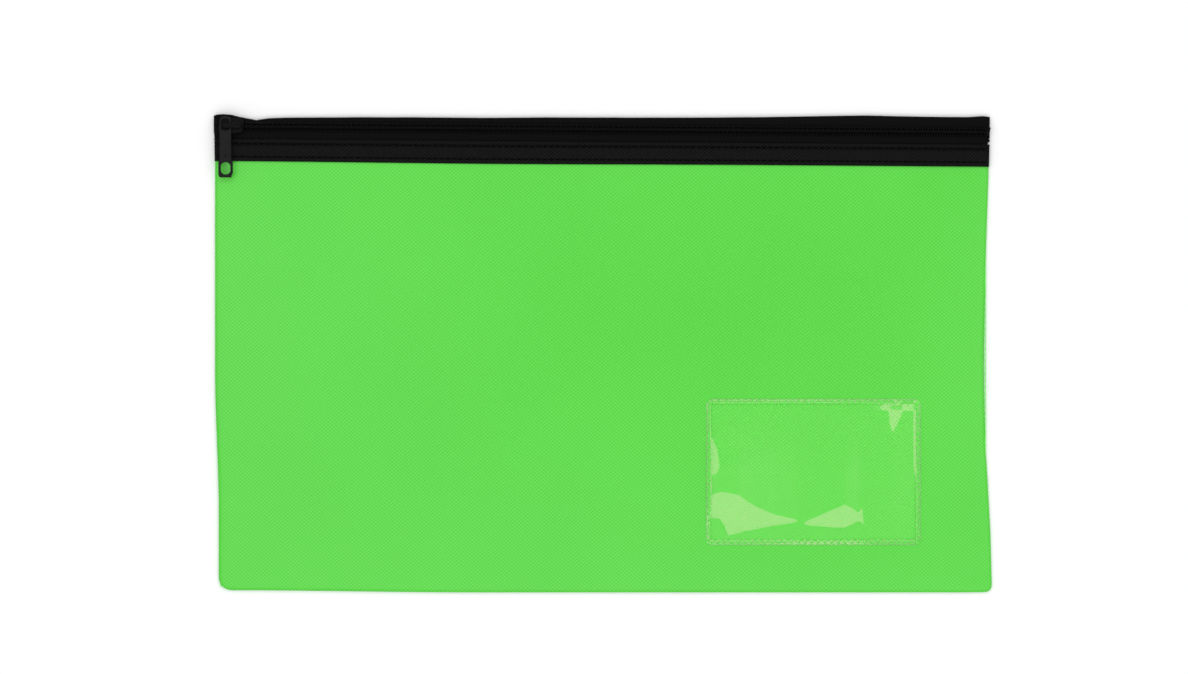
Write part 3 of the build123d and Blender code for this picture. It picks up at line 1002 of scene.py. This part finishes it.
def climb_along(rows, along, across):
    """A climb whose foot, top and height change along the side. Gives the climb and its full height."""
    rows = np.array(rows, float)
    foot, top, height = (np.interp(along, rows[:, 0], rows[:, i]) for i in (1, 2, 3))
    return climb(across, foot, top, height), height


def soft_fold(a, b, fold):
    a0, b0, a1, b1, width, height = fold
    length = math.hypot(a1 - a0, b1 - b0)
    along = ((a - a0) * (a1 - a0) + (b - b0) * (b1 - b0)) / length
    across = ((a - a0) * (b1 - b0) - (b - b0) * (a1 - a0)) / length
    ends = smooth(along, -6, 6) * (1 - smooth(along, length - 6, length + 6))
    return height * np.exp(-((across / width) ** 2)) * ends


def film_bulge(a, b):
    """How far the film stands off the cloth, for a and b in millimetres from its middle."""
    pleat, _ = climb_along(BOTTOM_PLEAT, a, b)
    swell, _ = climb_along(LEFT_SWELL, b, a)
    drop, full = climb_along(CORNER_DROP, b, a)
    h = pleat * (1 - 0.9 * smooth(b, -5, 36)) + swell * (1 - smooth(a, -42, -8))
    h = h + 0.4 * full * smooth(a, 5, 33) - 0.9 * drop + 0.3
    h = h + climb(31.8 - b, 0, 3.4, 1.15 * smooth(a, 20, 38), 0.3)
    h = h + climb(48.2 - a, 0, 1.6, 0.36 * smooth(b, -12, 15), 0.3)
    folds = sum(soft_fold(a, b, fold) for fold in FOLDS)
    h = h + folds * smooth(48 - np.abs(a), 0, 8) * smooth(32 - np.abs(b), 0, 8)
    edge = np.minimum(FILM_HALF[0] - np.abs(a), FILM_HALF[1] - np.abs(b))
    return h * smooth(edge, 0.2, 2.0)


def window_film():
    a, b = np.meshgrid(np.linspace(-1, 1, 240), np.linspace(-1, 1, 164))
    a = a * FILM_HALF[0]
    b = b * FILM_HALF[1]
    corner_a = np.clip((np.abs(a) - FILM_HALF[0] + FILM_CORNER) / FILM_CORNER, 0, 1)
    corner_b = np.clip((np.abs(b) - FILM_HALF[1] + FILM_CORNER) / FILM_CORNER, 0, 1)
    inset_a = np.sign(a) * FILM_CORNER * corner_a * (1 - np.sqrt(1 - corner_b**2 / 2))
    inset_b = np.sign(b) * FILM_CORNER * corner_b * (1 - np.sqrt(1 - corner_a**2 / 2))
    x = film_middle[0] + a - inset_a
    y = film_middle[1] + b - inset_b
    z = cloth_height(x, y) + FILM_GAP + film_bulge(a, b)
    return thicken(grid_object("card_window_film", np.stack([x, y, z], -1), film_clear), FILM_THICK)


def window_row():
    """Zigzag stitches along all four sides of the film."""
    centres = []
    directions = []
    outer, inner = ZIGZAG_INSET
    for axis, run, off in (((1, 0, 0), FILM_HALF[0], FILM_HALF[1]), ((0, 1, 0), FILM_HALF[1], FILM_HALF[0])):
        along = np.array(axis, float)
        across = np.array([axis[1], axis[0], 0.0])
        for side in (-1, 1):
            for place in row_places(2 * run - 2 * outer, ZIGZAG_PITCH / 2):
                slant = 1 if len(centres) % 2 else -1
                middle = along * place + across * side * (off - (outer + inner) / 2)
                centres.append(film_middle + middle)
                directions.append(along * ZIGZAG_PITCH / 2 + across * slant * (inner - outer))
    centres = np.array(centres)
    bulge = film_bulge(centres[:, 0] - film_middle[0], centres[:, 1] - film_middle[1])
    centres[:, 2] = cloth_height(centres[:, 0], centres[:, 1]) + FILM_GAP + bulge
    return stitches("card_window_row", centres, directions, STITCH_SEEN, 0.2, thread_green)


film = window_film()
film_stitches = window_row()


# Bodies, slots and what each piece stands for.

PIECES = (
    (cloth_front, "green_cloth", ["front_panel"]),
    (cloth_back, "green_cloth", ["back_panel"]),
    (tape_front, "zip_tape", ["front_tape"]),
    (facing_front, "black_cloth", ["front_facing"]),
    (tape_back, "zip_tape", ["back_tape"]),
    (coil_front, "zip_coil", ["front_coil"]),
    (coil_back, "zip_coil", ["back_coil"]),
    (facing_rows[0], "black_thread", ["facing_outer_stitching"]),
    (facing_rows[1], "black_thread", ["facing_inner_stitching"]),
    (back_rows[0], "black_thread", ["back_tape_outer_stitching"]),
    (back_rows[1], "black_thread", ["back_tape_inner_stitching"]),
    (coil_rows[0], "black_thread", ["front_coil_stitching"]),
    (coil_rows[1], "black_thread", ["back_coil_stitching"]),
    (film, "clear_film", ["window_film"]),
    (film_stitches, "green_thread", ["window_stitching"]),
)
for piece, slot, replaced in PIECES:
    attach(piece, "bag")
    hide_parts(*replaced)

CAD_FINISH = {
    "slider_body": slider_lacquer,
    "pull_tab": tab_lacquer,
    "front_coil_cord": cord_yarn,
    "back_coil_cord": cord_yarn,
    "left_seam_stitching": thread_green,
    "right_seam_stitching": thread_green,
    "bottom_seam_stitching": thread_green,
}
for name, material in CAD_FINISH.items():
    nodes[name].data.materials.clear()
    nodes[name].data.materials.append(material)


# The studio.


def floor():
    size = 6000
    corners = [(-size, -size, 0), (size, -size, 0), (size, size, 0), (-size, size, 0)]
    tree = Tree("studio_floor")
    tone = tree.ramp(tree.noise(2.0, 2.0), (0.93, 0.93, 0.93), (0.95, 0.95, 0.95))
    tree.principled(Base_Color=tone, Roughness=0.9, Specular_IOR_Level=0.1)
    plane = mesh_object("floor", corners, [[0, 1, 2, 3]], tree.material)
    plane.location.z = -0.02 * MM


SIDE_SKY = 0.56
TOP_SKY = 0.16


def sky():
    """Even white light from all sides, dimmer straight overhead so that glossy faces show their shape."""
    world = bpy.data.worlds.new("studio")
    world.use_nodes = True
    shader = world.node_tree.nodes["Background"]
    shader.inputs[0].default_value = (1, 1, 1, 1)
    nodes_add = world.node_tree.nodes.new
    direction = nodes_add("ShaderNodeTexCoord")
    split = nodes_add("ShaderNodeSeparateXYZ")
    level = nodes_add("ShaderNodeMapRange")
    level.interpolation_type = "SMOOTHSTEP"
    for socket, value in zip(level.inputs[1:5], (0.93, 0.998, SIDE_SKY, TOP_SKY)):
        socket.default_value = value
    world.node_tree.links.new(direction.outputs["Generated"], split.inputs[0])
    world.node_tree.links.new(split.outputs["Z"], level.inputs["Value"])
    world.node_tree.links.new(level.outputs[0], shader.inputs[1])
    bpy.context.scene.world = world


def studio():
    sky()
    bpy.context.scene.view_settings.view_transform = "Standard"
    for name, x0, x1, y0, y1 in (
        ("front_softbox", -0.8, 0.8, -0.96, -0.322),
        ("left_softbox", -0.9, -0.18, -0.3, 0.5),
        ("right_softbox", 0.53, 1.05, -0.5, 0.8),
        ("back_softbox", -0.4, 0.6, 0.5, 1.2),
    ):
        data = bpy.data.lights.new(name, "AREA")
        data.shape = "RECTANGLE"
        data.size = x1 - x0
        data.size_y = y1 - y0
        data.energy = SOFTBOX_RADIANCE * math.pi * data.size * data.size_y
        light = bpy.data.objects.new(name, data)
        light.location = ((x0 + x1) / 2, (y0 + y1) / 2, SOFTBOX_HEIGHT)
        bpy.context.scene.collection.objects.link(light)


SOFTBOX_RADIANCE = 1.8
SOFTBOX_HEIGHT = 1.207


LENS = 100
SENSOR = 36
VIEW_WIDTH = 0.5526
EYE_OFFSET = (-4.2, 7.6)
EYE_ABOVE = 5


def camera():
    """Straight above the bag, with a long lens."""
    data = bpy.data.cameras.new("camera")
    data.lens = LENS
    data.sensor_width = SENSOR
    distance = VIEW_WIDTH * LENS / SENSOR
    eye = bpy.data.objects.new("camera", data)
    eye.location = (EYE_OFFSET[0] * MM, EYE_OFFSET[1] * MM, distance + EYE_ABOVE * MM)
    bpy.context.scene.collection.objects.link(eye)
    bpy.context.scene.camera = eye


floor()
studio()
camera()
